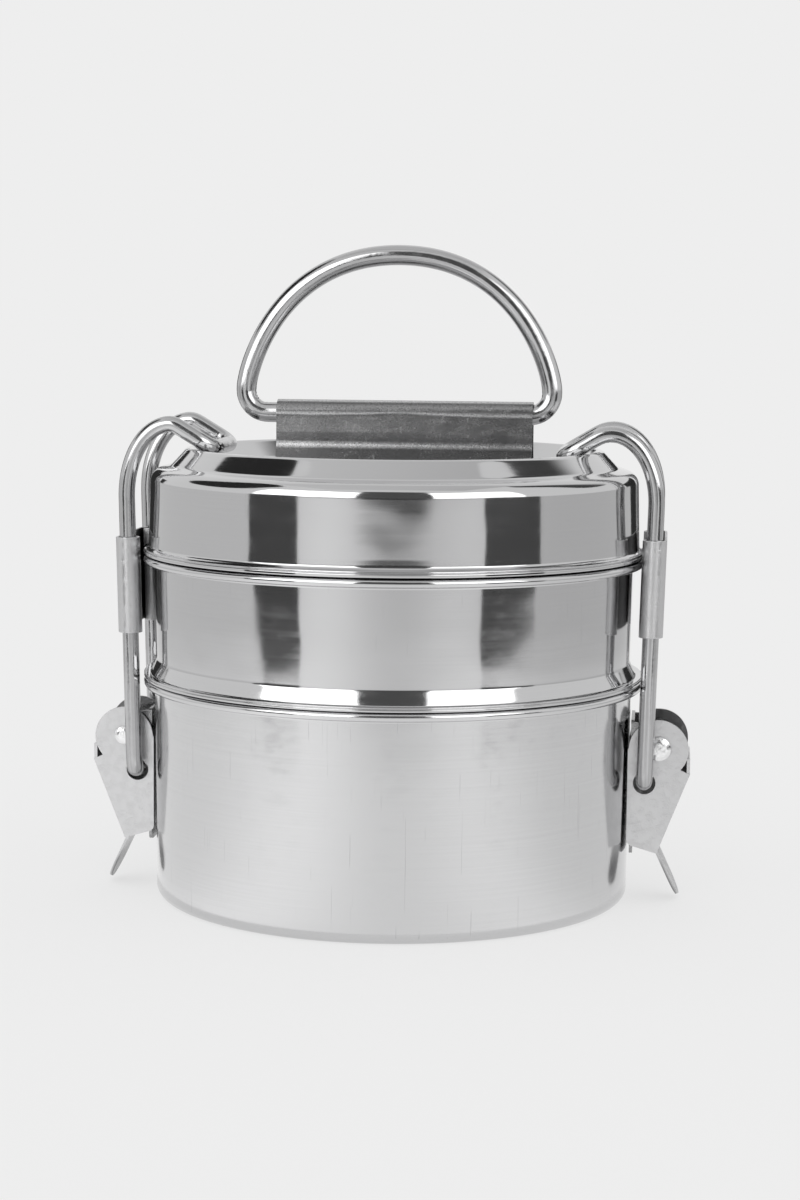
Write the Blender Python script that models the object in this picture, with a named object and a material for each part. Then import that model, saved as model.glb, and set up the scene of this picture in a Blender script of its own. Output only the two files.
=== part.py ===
"""Two-tier stainless steel tiffin carrier.

A deep bottom container and a shallower upper container are stacked under a stepped lid.
Two over-centre toggle clips, one on each side, pull the stack together, and a D-shaped
wire handle folds down in a bracket on the lid.

Frame: metres, +Z up, origin at the centre of the base where it stands.
The clips are on +X and -X, the handle is wide along X and folds towards +Y and -Y.
Every size below is in millimetres and is scaled to metres by MM.
"""

import math

import bmesh
import bpy
from mathutils import Matrix, Vector

MM = 0.001

# ---- driving dimensions (millimetres) ----
SEGMENTS = 48            # facets round each turned piece
SHEET = 0.7              # sheet thickness of the containers and the lid
GAP = 0.3                # running or resting clearance between two pieces

RIM_RADIUS = 70.0        # outside of every rolled rim
BEAD_RADIUS = 1.2        # rolled bead on a rim
BEAD_CENTRE_R = RIM_RADIUS - BEAD_RADIUS

BOTTOM_RIM_Z = 60.1      # centre of the bottom container's bead
BOTTOM_WALL_TOP_R = 66.9
BOTTOM_WALL_FOOT_R = 66.4
BOTTOM_CORNER_R = 2.5

UPPER_BASE_Z = 55.0      # underside of the nesting base
UPPER_NEST_R = 65.5
UPPER_SKIRT_Z = BOTTOM_RIM_Z + BEAD_RADIUS + GAP
UPPER_SKIRT_R = 69.9
UPPER_RIM_Z = 94.4
UPPER_WALL_FOOT_R = 66.3
UPPER_WALL_TOP_R = 66.8

LID_FLANGE_Z = UPPER_RIM_Z + BEAD_RADIUS + GAP
LID_TOP_Z = 125.2        # crest of the raised ridge
LID_TOP_R = 57.2
LID_PANEL_R = 51.0       # sunk panel inside the ridge
LID_PANEL_Z = 119.5
LID_LEDGE_R = 62.3
LID_LEDGE_Z = 120.4
LID_SHOULDER_R = 67.9
LID_SHOULDER_Z = 118.8
LID_RING_R = 65.5        # locating ring that drops inside the upper container
LID_RING_FOOT_Z = 90.6

HANDLE_WIRE_R = 2.8
HANDLE_AXIS_Z = 134.8
HANDLE_CENTRE_X = 0.8
HANDLE_HALF_WIDTH = 42.8
HANDLE_TOP_Z = 178.6
HANDLE_CORNER_R = 6.0
HANDLE_SHOULDER_Z = 141.3
HANDLE_ENDS_GAP = 2.0

HOLDER_X0 = -33.5
HOLDER_X1 = 38.4
HOLDER_SHEET = 0.6
HOLDER_CRIMP = 0.3       # how far the sheet is pinched in below the wire
HOLDER_BEND_Z = 126.1    # the web turns outwards here and runs down to the feet
HOLDER_FOOT_Y = 6.0
HOLDER_FOOT_HALF_Y = 12.0

PIVOT_X = 75.0           # clip lever pivot, measured from the carrier's axis
PIVOT_Z = 44.0
BAIL_X = 71.1            # hole in the lever where the bail wire turns
BAIL_Z = 34.7
LEVER_HALF_Y = 11.0
LEVER_SHEET = 1.0
LEVER_TOP_R = 8.2
LEVER_TOP_X = 74.9
LEVER_TOP_Z = 43.7
LEVER_INNER_X = 66.8
WIRE_R = 2.25
WIRE_HOLE_R = 2.75
LEG_HALF_Y = 15.0
LEG_TOP_X = 73.0
LEG_TOP_Z = 112.0
ARCH_X = 60.5
ARCH_Z = 131.2
BAR_X = 48.5
BAR_Z = LID_TOP_Z + GAP + WIRE_R
RIVET_R = 1.6
RIVET_HOLE_R = RIVET_R + GAP
FACTORY_HEAD_R = 2.55
PEENED_HEAD_R = 3.4
HEAD_HEIGHT = 1.1
EAR_HALF_Y = 9.6
EAR_SHEET = 1.0
EAR_R = 5.2
BASE_PLATE_X0 = 67.2
BASE_PLATE_X1 = 68.1
BASE_PLATE_Z0 = 14.1
BASE_PLATE_Z1 = 51.5
PLATE_Z0 = 73.8          # sheet that joins the two legs of a bail
PLATE_Z1 = 100.4
PLATE_SHEET = 0.75


# ---- scene and materials ----
def clear_scene():
    for obj in list(bpy.data.objects):
        bpy.data.objects.remove(obj, do_unlink=True)


def steel(name, colour, roughness):
    """Principled steel with its own grey and roughness."""
    mat = bpy.data.materials.new(name)
    mat.use_nodes = True
    shader = mat.node_tree.nodes["Principled BSDF"]
    shader.inputs["Base Color"].default_value = (*colour, 1.0)
    shader.inputs["Metallic"].default_value = 1.0
    shader.inputs["Roughness"].default_value = roughness
    return mat


def add_object(name, mesh, material, parent=None, smooth_angle=35.0):
    """Link a mesh as a named object and shade it smooth up to an angle."""
    mesh.shade_smooth()
    mesh.set_sharp_from_angle(angle=math.radians(smooth_angle))
    mesh.materials.clear()
    mesh.materials.append(material)
    obj = bpy.data.objects.new(name, mesh)
    bpy.context.scene.collection.objects.link(obj)
    if parent is not None:
        obj.parent = parent
    return obj


def add_empty(name, location, turn=0.0, parent=None):
    """Empty on a joint's axis. Location is in millimetres."""
    empty = bpy.data.objects.new(name, None)
    bpy.context.scene.collection.objects.link(empty)
    empty.location = Vector(location) * MM
    empty.rotation_euler = (0.0, 0.0, turn)
    if parent is not None:
        empty.parent = parent
    return empty


# ---- geometry helpers, all in millimetres ----
def arc(cx, cz, radius, start, end, steps):
    """Points on a circle from start to end, in degrees."""
    points = []
    for i in range(steps + 1):
        angle = math.radians(start + (end - start) * i / steps)
        points.append((cx + radius * math.cos(angle), cz + radius * math.sin(angle)))
    return points


def mesh_from(bm, name, shift=(0.0, 0.0, 0.0)):
    """Turn a millimetre bmesh into a metre mesh whose origin is at shift."""
    bmesh.ops.translate(bm, verts=bm.verts, vec=-Vector(shift))
    bmesh.ops.scale(bm, verts=bm.verts, vec=(MM, MM, MM))
    bmesh.ops.recalc_face_normals(bm, faces=bm.faces)
    mesh = bpy.data.meshes.new(name)
    bm.to_mesh(mesh)
    bm.free()
    return mesh


def turned(name, profile):
    """Spin an open (radius, height) profile, with both ends on the axis or closed, about Z."""
    bm = bmesh.new()
    verts = [bm.verts.new((r, 0.0, z)) for r, z in profile]
    edges = [bm.edges.new((a, b)) for a, b in zip(verts, verts[1:])]
    bmesh.ops.spin(
        bm,
        geom=verts + edges,
        cent=(0.0, 0.0, 0.0),
        axis=(0.0, 0.0, 1.0),
        angle=2.0 * math.pi,
        steps=SEGMENTS,
        use_merge=True,
    )
    bmesh.ops.remove_doubles(bm, verts=bm.verts, dist=0.0005)
    return mesh_from(bm, name)


def prism(outline, low, high, axis="Y"):
    """Closed prism: an (x, z) outline run along Y, or a (y, z) outline run along X,
    or an (x, y) outline run along Z."""

    def place(point, along):
        if axis == "Y":
            return (point[0], along, point[1])
        if axis == "X":
            return (along, point[0], point[1])
        return (point[0], point[1], along)

    bm = bmesh.new()
    face = bm.faces.new([bm.verts.new(place(p, low)) for p in outline])
    step = Vector(place((0.0, 0.0), high)) - Vector(place((0.0, 0.0), low))
    moved = bmesh.ops.extrude_face_region(bm, geom=[face])["geom"]
    new_verts = [v for v in moved if isinstance(v, bmesh.types.BMVert)]
    bmesh.ops.translate(bm, verts=new_verts, vec=step)
    bmesh.ops.recalc_face_normals(bm, faces=bm.faces)
    return bm


def cylinder(x, z, radius, y0, y1, sides=20):
    """Closed cylinder along Y."""
    return prism(arc(x, z, radius, 0.0, 360.0 * (1 - 1 / sides), sides - 1), y0, y1)


def temp_object(bm, name):
    mesh = bpy.data.meshes.new(name)
    bm.to_mesh(mesh)
    bm.free()
    obj = bpy.data.objects.new(name, mesh)
    bpy.context.scene.collection.objects.link(obj)
    return obj


def combine(name, solids, cutters, shift):
    """Union of the solids less the cutters, by exact Booleans, as one metre mesh."""
    base = temp_object(solids[0], name + "_work")
    others = [(temp_object(bm, name + "_add"), "UNION") for bm in solids[1:]]
    others += [(temp_object(bm, name + "_cut"), "DIFFERENCE") for bm in cutters]
    for index, (other, operation) in enumerate(others):
        modifier = base.modifiers.new(f"step_{index}", "BOOLEAN")
        modifier.operation = operation
        modifier.solver = "EXACT"
        modifier.object = other
    graph = bpy.context.evaluated_depsgraph_get()
    evaluated = base.evaluated_get(graph)
    bm = bmesh.new()
    bm.from_mesh(evaluated.to_mesh())
    evaluated.to_mesh_clear()
    for other, _ in others:
        bpy.data.objects.remove(other, do_unlink=True)
    bpy.data.objects.remove(base, do_unlink=True)
    bmesh.ops.remove_doubles(bm, verts=bm.verts, dist=0.002)
    bmesh.ops.dissolve_limit(
        bm, angle_limit=math.radians(0.3), verts=bm.verts, edges=bm.edges
    )
    bmesh.ops.triangulate(bm, faces=bm.faces)
    return mesh_from(bm, name, shift)


def wire(name, points, radius, shift, resolution):
    """Round wire along millimetre points, as a poly curve with a bevel and filled ends."""
    curve = bpy.data.curves.new(name, "CURVE")
    curve.dimensions = "3D"
    curve.bevel_depth = radius * MM
    curve.bevel_resolution = resolution
    curve.use_fill_caps = True
    spline = curve.splines.new("POLY")
    spline.points.add(len(points) - 1)
    for target, point in zip(spline.points, points):
        target.co = (*((Vector(point) - Vector(shift)) * MM), 1.0)
    obj = bpy.data.objects.new(name + "_path", curve)
    bpy.context.scene.collection.objects.link(obj)
    graph = bpy.context.evaluated_depsgraph_get()
    mesh = bpy.data.meshes.new_from_object(obj.evaluated_get(graph))
    mesh.name = name
    bpy.data.objects.remove(obj, do_unlink=True)
    bm = bmesh.new()
    bm.from_mesh(mesh)
    bmesh.ops.remove_doubles(bm, verts=bm.verts, dist=0.000001)
    bmesh.ops.recalc_face_normals(bm, faces=bm.faces)
    bm.to_mesh(mesh)
    bm.free()
    return mesh


def fillet_path(points, radii, step=18.0):
    """Replace the inner corners of a 3-D path with arcs of the given radii."""
    result = [Vector(points[0])]
    for before, corner, after, radius in zip(points, points[1:], points[2:], radii):
        corner = Vector(corner)
        back = (Vector(before) - corner).normalized()
        ahead = (Vector(after) - corner).normalized()
        opening = back.angle(ahead)
        if radius <= 0.0 or opening > math.radians(179.0):
            result.append(corner)
            continue
        reach = radius / math.tan(opening / 2.0)
        start = corner + back * reach
        centre = corner + (back + ahead).normalized() * (radius / math.sin(opening / 2.0))
        turn = math.pi - opening
        count = max(2, math.ceil(math.degrees(turn) / step))
        axis = (start - centre).cross(corner + ahead * reach - centre).normalized()
        for i in range(count + 1):
            spin = Matrix.Rotation(turn * i / count, 3, axis)
            result.append(centre + spin @ (start - centre))
    result.append(Vector(points[-1]))
    return result


def thick_line(points, thickness):
    """Closed outline of a sheet of even thickness whose middle runs along 2-D points."""
    half = thickness / 2.0
    left, right = [], []
    for i, point in enumerate(points):
        here = Vector(point)
        before = Vector(points[max(i - 1, 0)])
        after = Vector(points[min(i + 1, len(points) - 1)])
        first = (here - before).normalized() if i > 0 else (after - here).normalized()
        second = (after - here).normalized() if i < len(points) - 1 else first
        normal = Vector((-(first.y + second.y), first.x + second.x)).normalized()
        reach = half / max(0.5, normal.dot(Vector((-first.y, first.x))))
        left.append(here + normal * reach)
        right.append(here - normal * reach)
    return [tuple(p) for p in left + right[::-1]]


# ---- turned pieces ----
def rim_bead(z, start=-150.0):
    """Outside of a rolled rim, from under the bead over its top."""
    return arc(BEAD_CENTRE_R, z, BEAD_RADIUS, start, 90.0, 6)


def bottom_container_mesh():
    foot, corner = BOTTOM_WALL_FOOT_R, BOTTOM_CORNER_R
    top = BOTTOM_RIM_Z + BEAD_RADIUS
    inner_foot, inner_corner = foot - SHEET, corner - SHEET
    outer = [(0.0, 0.0)]
    outer += arc(foot - corner, corner, corner, -90.0, 0.0, 4)
    outer += [(BOTTOM_WALL_TOP_R, BOTTOM_RIM_Z - 1.5)]
    outer += rim_bead(BOTTOM_RIM_Z)
    inner = [(BOTTOM_WALL_TOP_R, top), (BOTTOM_WALL_TOP_R - 0.5, top - 0.3)]
    inner += [(BOTTOM_WALL_TOP_R - SHEET, top - 1.0)]
    inner += arc(inner_foot - inner_corner, corner, inner_corner, 0.0, -90.0, 3)
    inner += [(0.0, SHEET)]
    return turned("bottom_container", outer + inner)


def upper_container_mesh():
    nest, skirt, base = UPPER_NEST_R, UPPER_SKIRT_Z, UPPER_BASE_Z
    foot = UPPER_WALL_FOOT_R
    top = UPPER_RIM_Z + BEAD_RADIUS
    outer = [(0.0, base)]
    outer += arc(nest - 2.0, base + 2.0, 2.0, -90.0, 0.0, 3)
    outer += [(nest, skirt - 0.4), (nest + 0.4, skirt)]
    outer += [(UPPER_SKIRT_R - 0.5, skirt), (UPPER_SKIRT_R, skirt + 0.45)]
    outer += [(UPPER_SKIRT_R - 0.4, skirt + 1.1)]
    outer += [(68.3, skirt + 1.9), (67.2, skirt + 3.1), (66.6, skirt + 4.5), (foot, skirt + 6.0)]
    outer += [(UPPER_WALL_TOP_R, UPPER_RIM_Z - 1.5)]
    outer += rim_bead(UPPER_RIM_Z)
    inner = [(UPPER_WALL_TOP_R, top), (UPPER_WALL_TOP_R - 0.5, top - 0.3)]
    inner += [(UPPER_WALL_TOP_R - SHEET, top - 1.0)]
    inner += [(foot - SHEET, skirt + 6.0), (foot - SHEET - 0.1, skirt + 3.0)]
    inner += [(nest - SHEET, skirt + 0.6)]
    inner += arc(nest - 2.0, base + 2.0, 2.0 - SHEET, 0.0, -90.0, 3)
    inner += [(0.0, base + SHEET)]
    return turned("upper_container", outer + inner)


def lid_mesh():
    top, flange = LID_TOP_Z, LID_FLANGE_Z
    ring, panel = LID_RING_R, LID_PANEL_Z
    outer = [(0.0, panel), (LID_PANEL_R - 0.8, panel), (LID_PANEL_R, panel + 0.4)]
    outer += [(LID_TOP_R - 1.6, top - 0.7), (LID_TOP_R - 0.9, top), (LID_TOP_R - 0.3, top)]
    outer += [(LID_TOP_R + 0.4, top - 0.6), (LID_LEDGE_R - 0.6, LID_LEDGE_Z + 0.7)]
    outer += [(LID_LEDGE_R + 0.5, LID_LEDGE_Z - 0.1)]
    outer += [(LID_SHOULDER_R - 1.6, LID_SHOULDER_Z + 0.1)]
    outer += [(LID_SHOULDER_R - 0.6, LID_SHOULDER_Z - 0.5)]
    outer += [(LID_SHOULDER_R - 0.1, LID_SHOULDER_Z - 1.5)]
    outer += [(LID_SHOULDER_R, LID_SHOULDER_Z - 2.8)]
    outer += [(68.3, flange + 6.0), (68.5, flange + 4.2), (68.9, flange + 2.6)]
    outer += [(69.5, flange + 1.3), (RIM_RADIUS, flange + 0.6), (RIM_RADIUS - 0.3, flange)]
    outer += [(ring + 0.4, flange), (ring, flange - 0.4), (ring, LID_RING_FOOT_Z)]
    inner = [(ring - SHEET, LID_RING_FOOT_Z), (ring - SHEET, flange + 0.3)]
    inner += [(ring - SHEET + 0.5, flange + 0.8), (67.3, flange + 1.3)]
    inner += [(67.7, flange + 2.6), (67.6, flange + 6.0)]
    inner += [(LID_SHOULDER_R - SHEET, LID_SHOULDER_Z - 2.9)]
    inner += [(LID_SHOULDER_R - 1.4, LID_SHOULDER_Z - 1.2)]
    inner += [(LID_SHOULDER_R - 2.0, LID_SHOULDER_Z - 0.6)]
    inner += [(LID_LEDGE_R + 0.1, LID_LEDGE_Z - 0.8), (LID_LEDGE_R - 1.1, LID_LEDGE_Z + 0.1)]
    inner += [(LID_TOP_R - 0.1, top - 1.15), (LID_TOP_R - 0.6, top - 0.8)]
    inner += [(LID_TOP_R - 1.0, top - 1.0), (LID_PANEL_R + 0.65, panel)]
    inner += [(LID_PANEL_R + 0.35, panel - 0.45), (LID_PANEL_R - 0.5, panel - SHEET)]
    inner += [(0.0, panel - SHEET)]
    return turned("lid", outer + inner)


# ---- carrying handle and its holder ----
def handle_points():
    """Middle of the handle wire, from one hidden end, round the loop, to the other."""
    half, corner = HANDLE_HALF_WIDTH, HANDLE_CORNER_R
    axis, shoulder, top = HANDLE_AXIS_Z, HANDLE_SHOULDER_Z, HANDLE_TOP_Z
    side = []
    for x, z in arc(half - corner, axis + corner, corner, -90.0, 0.0, 5)[:-1]:
        side.append((x, z))
    start = Vector((half, shoulder))
    pull_up = Vector((half, shoulder + 5.5))
    pull_in = Vector((34.0, top))
    crown = Vector((0.0, top))
    steps = 12
    for i in range(steps):
        t = i / steps
        s = 1.0 - t
        point = s**3 * start + 3 * s * s * t * pull_up + 3 * s * t * t * pull_in + t**3 * crown
        side.append(tuple(point))
    loop = [(HANDLE_ENDS_GAP / 2.0, axis)] + side + [(0.0, top)]
    loop += [(-x, z) for x, z in reversed(side)] + [(-HANDLE_ENDS_GAP / 2.0, axis)]
    return [(x + HANDLE_CENTRE_X, 0.0, z) for x, z in loop]


def holder_mesh():
    """Sheet saddle bent over the handle wire, crimped under it, with splayed feet on the panel."""
    middle_r = HANDLE_WIRE_R + GAP + HOLDER_SHEET / 2.0
    web = middle_r - HOLDER_CRIMP
    foot_z = LID_PANEL_Z + GAP + HOLDER_SHEET / 2.0
    right = [(HOLDER_FOOT_HALF_Y, foot_z), (HOLDER_FOOT_Y, foot_z), (HOLDER_FOOT_Y - 0.5, foot_z + 0.4)]
    right += [(web, HOLDER_BEND_Z), (web, HANDLE_AXIS_Z - 1.0)]
    crown = arc(0.0, HANDLE_AXIS_Z, middle_r, 0.0, 180.0, 14)
    left = [(-y, z) for y, z in reversed(right)]
    outline = thick_line(right + crown + left, HOLDER_SHEET)
    bm = prism(outline, HOLDER_X0, HOLDER_X1, axis="X")
    return mesh_from(bm, "handle_bracket", (0.0, 0.0, LID_PANEL_Z))


# ---- clips, drawn on the +X side ----
def bracket_mesh():
    """Flat plate against the wall with two ears that carry the rivet."""
    plate = prism(
        [
            (BASE_PLATE_X0, BASE_PLATE_Z0),
            (BASE_PLATE_X1, BASE_PLATE_Z0),
            (BASE_PLATE_X1, BASE_PLATE_Z1),
            (BASE_PLATE_X0, BASE_PLATE_Z1),
        ],
        -EAR_HALF_Y,
        EAR_HALF_Y,
    )
    ear = [(BASE_PLATE_X0 + 0.1, 37.0), (BASE_PLATE_X1 + 0.8, 37.0)]
    ear += arc(PIVOT_X, PIVOT_Z, EAR_R, -65.0, 75.0, 9)
    ear += [(BASE_PLATE_X1 + 0.8, BASE_PLATE_Z1 - 0.6), (BASE_PLATE_X0 + 0.1, BASE_PLATE_Z1 - 0.6)]
    ears = [
        prism(ear, -EAR_HALF_Y, -EAR_HALF_Y + EAR_SHEET),
        prism(ear, EAR_HALF_Y - EAR_SHEET, EAR_HALF_Y),
    ]
    hole = cylinder(PIVOT_X, PIVOT_Z, RIVET_HOLE_R, -EAR_HALF_Y - 2.0, EAR_HALF_Y + 2.0)
    return combine("latch_bracket", [plate] + ears, [hole], (PIVOT_X, 0.0, PIVOT_Z))


def lever_mesh():
    """Channel-shaped lever: two side plates, a sloping web with a lip, and a thumb tab."""
    corner = (83.6, 37.0)
    heel = (74.8, 14.6)
    cheek = [(LEVER_INNER_X, 18.6), (LEVER_INNER_X + 0.6, 17.2), (68.8, 16.4), heel, corner]
    cheek += [(82.5, 37.5)]
    cheek += arc(LEVER_TOP_X, LEVER_TOP_Z, LEVER_TOP_R, -42.0, 180.0, 16)
    cheek[-1] = (LEVER_INNER_X, LEVER_TOP_Z - 0.2)
    inner_y = LEVER_HALF_Y - LEVER_SHEET
    slope = Vector((corner[0] - heel[0], corner[1] - heel[1])).normalized()
    inward = Vector((-slope.y, slope.x)) * LEVER_SHEET
    web = [
        heel,
        corner,
        (corner[0], corner[1] + 4.2),
        (corner[0] - 0.9, corner[1] + 4.2),
        (corner[0] - 0.9, corner[1] + 0.2),
        (corner[0] + inward.x - 0.2, corner[1] + inward.y),
        (heel[0] + inward.x, heel[1] + inward.y + 0.4),
    ]
    solids = [
        prism(web, -inner_y - 0.5, inner_y + 0.5),
        prism(cheek, -LEVER_HALF_Y, -inner_y),
        prism(cheek, inner_y, LEVER_HALF_Y),
        thumb_tab(heel),
    ]
    far = LEVER_HALF_Y + 2.0
    cutters = [
        cylinder(PIVOT_X, PIVOT_Z, RIVET_HOLE_R, -far, far),
        cylinder(BAIL_X, BAIL_Z, WIRE_HOLE_R, -far, far, sides=24),
    ]
    return combine("latch_lever", solids, cutters, (PIVOT_X, 0.0, PIVOT_Z))


def thumb_tab(heel):
    """Tongue with a round end, bent outwards from the foot of the web."""
    length = 15.4
    half = 7.0
    nose = 6.5
    outline = [(-1.2, -half), (length - nose, -half * 0.94)]
    outline += [
        (length - nose + nose * math.cos(a), half * 0.94 * math.sin(a))
        for a in [math.radians(-80 + 160 * i / 8) for i in range(9)]
    ]
    outline += [(length - nose, half * 0.94), (-1.2, half)]
    bm = prism(outline, -0.45, 0.45, axis="Z")
    lean = math.atan2(5.7, 12.1)
    along = Vector((math.sin(lean), 0.0, -math.cos(lean)))
    across = Vector((0.0, 1.0, 0.0))
    normal = along.cross(across)
    turn = Matrix((along, across, normal)).transposed().to_4x4()
    origin = Vector((heel[0] - 0.45, 0.0, heel[1] + 0.6))
    bm.transform(Matrix.Translation(origin) @ turn)
    bmesh.ops.recalc_face_normals(bm, faces=bm.faces)
    return bm


def rivet_mesh():
    """Rivet with a low factory head on +Y and a wider peened head on -Y."""
    bm = bmesh.new()
    seat = LEVER_HALF_Y + GAP
    half = [(0.0, -seat - HEAD_HEIGHT), (PEENED_HEAD_R * 0.6, -seat - HEAD_HEIGHT * 0.85)]
    half += [(PEENED_HEAD_R, -seat - 0.3), (PEENED_HEAD_R, -seat), (RIVET_R, -seat)]
    half += [(RIVET_R, seat), (FACTORY_HEAD_R, seat), (FACTORY_HEAD_R, seat + 0.35)]
    half += [(FACTORY_HEAD_R * 0.75, seat + HEAD_HEIGHT), (0.0, seat + HEAD_HEIGHT)]
    verts = [bm.verts.new((r, y, 0.0)) for r, y in half]
    edges = [bm.edges.new((a, b)) for a, b in zip(verts, verts[1:])]
    bmesh.ops.spin(
        bm,
        geom=verts + edges,
        cent=(0.0, 0.0, 0.0),
        axis=(0.0, 1.0, 0.0),
        angle=2.0 * math.pi,
        steps=20,
        use_merge=True,
    )
    bmesh.ops.remove_doubles(bm, verts=bm.verts, dist=0.0005)
    return mesh_from(bm, "latch_rivet")


def bail_wire_mesh():
    """One wire: a stub in each lever hole, two legs, an arch over the lid and a bar on it."""
    stub = LEVER_HALF_Y - LEVER_SHEET - 0.1
    leg = LEG_HALF_Y
    fall_radius = ((ARCH_X - BAR_X) ** 2 + (ARCH_Z - BAR_Z) ** 2) / (2.0 * (ARCH_Z - BAR_Z))
    fall = math.degrees(math.asin((ARCH_X - BAR_X) / fall_radius))
    rise = LEG_TOP_X - ARCH_X
    half = [(BAIL_X, -stub, BAIL_Z), (BAIL_X, -leg, BAIL_Z), (LEG_TOP_X, -leg, LEG_TOP_Z)]
    path = fillet_path(half, [3.0], step=22.5)[:-1]
    for t in (0.3, 0.6):
        x = BAIL_X + (LEG_TOP_X - BAIL_X) * t
        path.append(Vector((x, -leg, BAIL_Z + (LEG_TOP_Z - BAIL_Z) * t)))
    for i in range(7):
        a = math.radians(90.0 * i / 6)
        x = ARCH_X + rise * math.cos(a)
        z = LEG_TOP_Z + (ARCH_Z - LEG_TOP_Z) * math.sin(a)
        path.append(Vector((x, -leg, z)))
    corner_reach = 5.0
    for i in range(1, 4):
        a = math.radians(fall * i / 5)
        x = ARCH_X - fall_radius * math.sin(a)
        path.append(Vector((x, -leg, ARCH_Z - fall_radius * (1.0 - math.cos(a)))))
    last = path[-1]
    bend = fillet_path(
        [last, (BAR_X, -leg, BAR_Z), (BAR_X, 0.0, BAR_Z)], [corner_reach - 0.3], step=18.0
    )
    path += bend[1:]
    path += [Vector((p.x, -p.y, p.z)) for p in reversed(path[:-1])]
    return wire("bail_wire", path, WIRE_R, (BAIL_X, 0.0, BAIL_Z), 3)


def bail_plate_mesh():
    """Sheet that lies across the legs on their outer side and curls round each of them."""
    radius = WIRE_R + GAP + PLATE_SHEET / 2.0
    middle = []
    for i in range(13):
        a = math.radians(295.0 - 295.0 * i / 12)
        middle.append((radius * math.cos(a), -LEG_HALF_Y - radius * math.sin(a)))
    middle += [(x, -y) for x, y in reversed(middle)]
    bm = prism(thick_line(middle, PLATE_SHEET), PLATE_Z0, PLATE_Z1, axis="Z")
    lean = math.atan2(LEG_TOP_X - BAIL_X, LEG_TOP_Z - BAIL_Z)
    for vert in bm.verts:
        vert.co.x += BAIL_X + (vert.co.z - BAIL_Z) * math.tan(lean)
    bmesh.ops.recalc_face_normals(bm, faces=bm.faces)
    return mesh_from(bm, "bail_plate", (BAIL_X, 0.0, BAIL_Z))


# ---- assembly ----
def build():
    clear_scene()
    polished = (0.62, 0.62, 0.63)
    satin = (0.55, 0.55, 0.56)
    dull = (0.36, 0.36, 0.37)

    add_object(
        "bottom_container", bottom_container_mesh(), steel("bottom_container", satin, 0.3)
    )
    add_object(
        "upper_container", upper_container_mesh(), steel("upper_container", polished, 0.16)
    )
    lid = add_object("lid", lid_mesh(), steel("lid", polished, 0.12))
    holder = add_object("handle_bracket", holder_mesh(), steel("handle_bracket", dull, 0.42))
    holder.location = (0.0, 0.0, LID_PANEL_Z * MM)
    holder.parent = lid

    hinge = (HANDLE_CENTRE_X, 0.0, HANDLE_AXIS_Z)
    handle_mesh = wire("carry_handle", handle_points(), HANDLE_WIRE_R, hinge, 4)
    handle = add_object(
        "carry_handle", handle_mesh, steel("carry_handle", polished, 0.2), parent=lid
    )
    handle.location = Vector(hinge) * MM

    meshes = {
        "latch_bracket": (bracket_mesh(), dull, 0.35),
        "latch_rivet": (rivet_mesh(), polished, 0.25),
        "latch_lever": (lever_mesh(), satin, 0.38),
        "bail_wire": (bail_wire_mesh(), polished, 0.25),
        "bail_plate": (bail_plate_mesh(), satin, 0.35),
    }
    for side, turn in (("right", 0.0), ("left", math.pi)):
        frame = add_empty(f"{side}_clip_frame", (0.0, 0.0, 0.0), turn)
        pivot = add_empty(f"{side}_pivot", (PIVOT_X, 0.0, PIVOT_Z), parent=frame)
        turning = add_empty(
            f"{side}_bail_pivot", (BAIL_X - PIVOT_X, 0.0, BAIL_Z - PIVOT_Z), parent=pivot
        )
        for piece, (mesh, colour, roughness) in meshes.items():
            name = f"{side}_{piece}"
            parent = turning if piece.startswith("bail") else pivot
            add_object(name, mesh.copy(), steel(name, colour, roughness), parent=parent)


build()
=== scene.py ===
# Studio scene of a two-tier stainless steel tiffin carrier.
#
# The imported CAD model is the fixed frame. Every CAD node is replaced by a fine piece of the same
# size: turned shells with rolled rims, swept wires, folded sheet and domed rivets. Sizes below are
# in millimetres, in the CAD model's own frame: +Z up, origin at the centre of the base, the clips
# on +X and -X. The clips are drawn on the +X side, and the left one is the same clip turned by 180
# degrees. Every mesh carries a "grain" attribute, in millimetres, that its material reads:
# x, y and the length along the profile on a turned piece, position round and length along on a
# wire, and plain position on sheet. Three more attributes are shares from 0 to 1, or a little
# outside that. One lightens the dull sheet: painted highlights and painted shade on the saddle,
# and an even lift of tone on the clip brackets. One marks the inner faces of pressed sheet, which
# are painted darker as painted shade. "glow" is the strength of the studio's painted boards.

import math

import bmesh
import bpy
from mathutils import Matrix, Vector, noise


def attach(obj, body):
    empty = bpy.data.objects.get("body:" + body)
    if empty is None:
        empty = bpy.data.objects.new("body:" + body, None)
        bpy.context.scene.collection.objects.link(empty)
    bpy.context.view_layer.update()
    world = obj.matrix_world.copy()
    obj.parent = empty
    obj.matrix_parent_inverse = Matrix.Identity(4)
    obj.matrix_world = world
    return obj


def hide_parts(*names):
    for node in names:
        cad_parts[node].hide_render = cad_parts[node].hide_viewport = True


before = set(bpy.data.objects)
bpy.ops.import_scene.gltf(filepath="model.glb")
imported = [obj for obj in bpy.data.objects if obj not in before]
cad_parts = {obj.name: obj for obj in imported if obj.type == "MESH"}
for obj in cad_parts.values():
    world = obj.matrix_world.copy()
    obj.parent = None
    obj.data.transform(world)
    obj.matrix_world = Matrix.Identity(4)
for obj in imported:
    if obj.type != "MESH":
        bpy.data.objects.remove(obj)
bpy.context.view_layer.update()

MM = 0.001
TURN_STEPS = 192         # facets round a turned piece
SHEET = 0.7
GAP = 0.3

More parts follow.
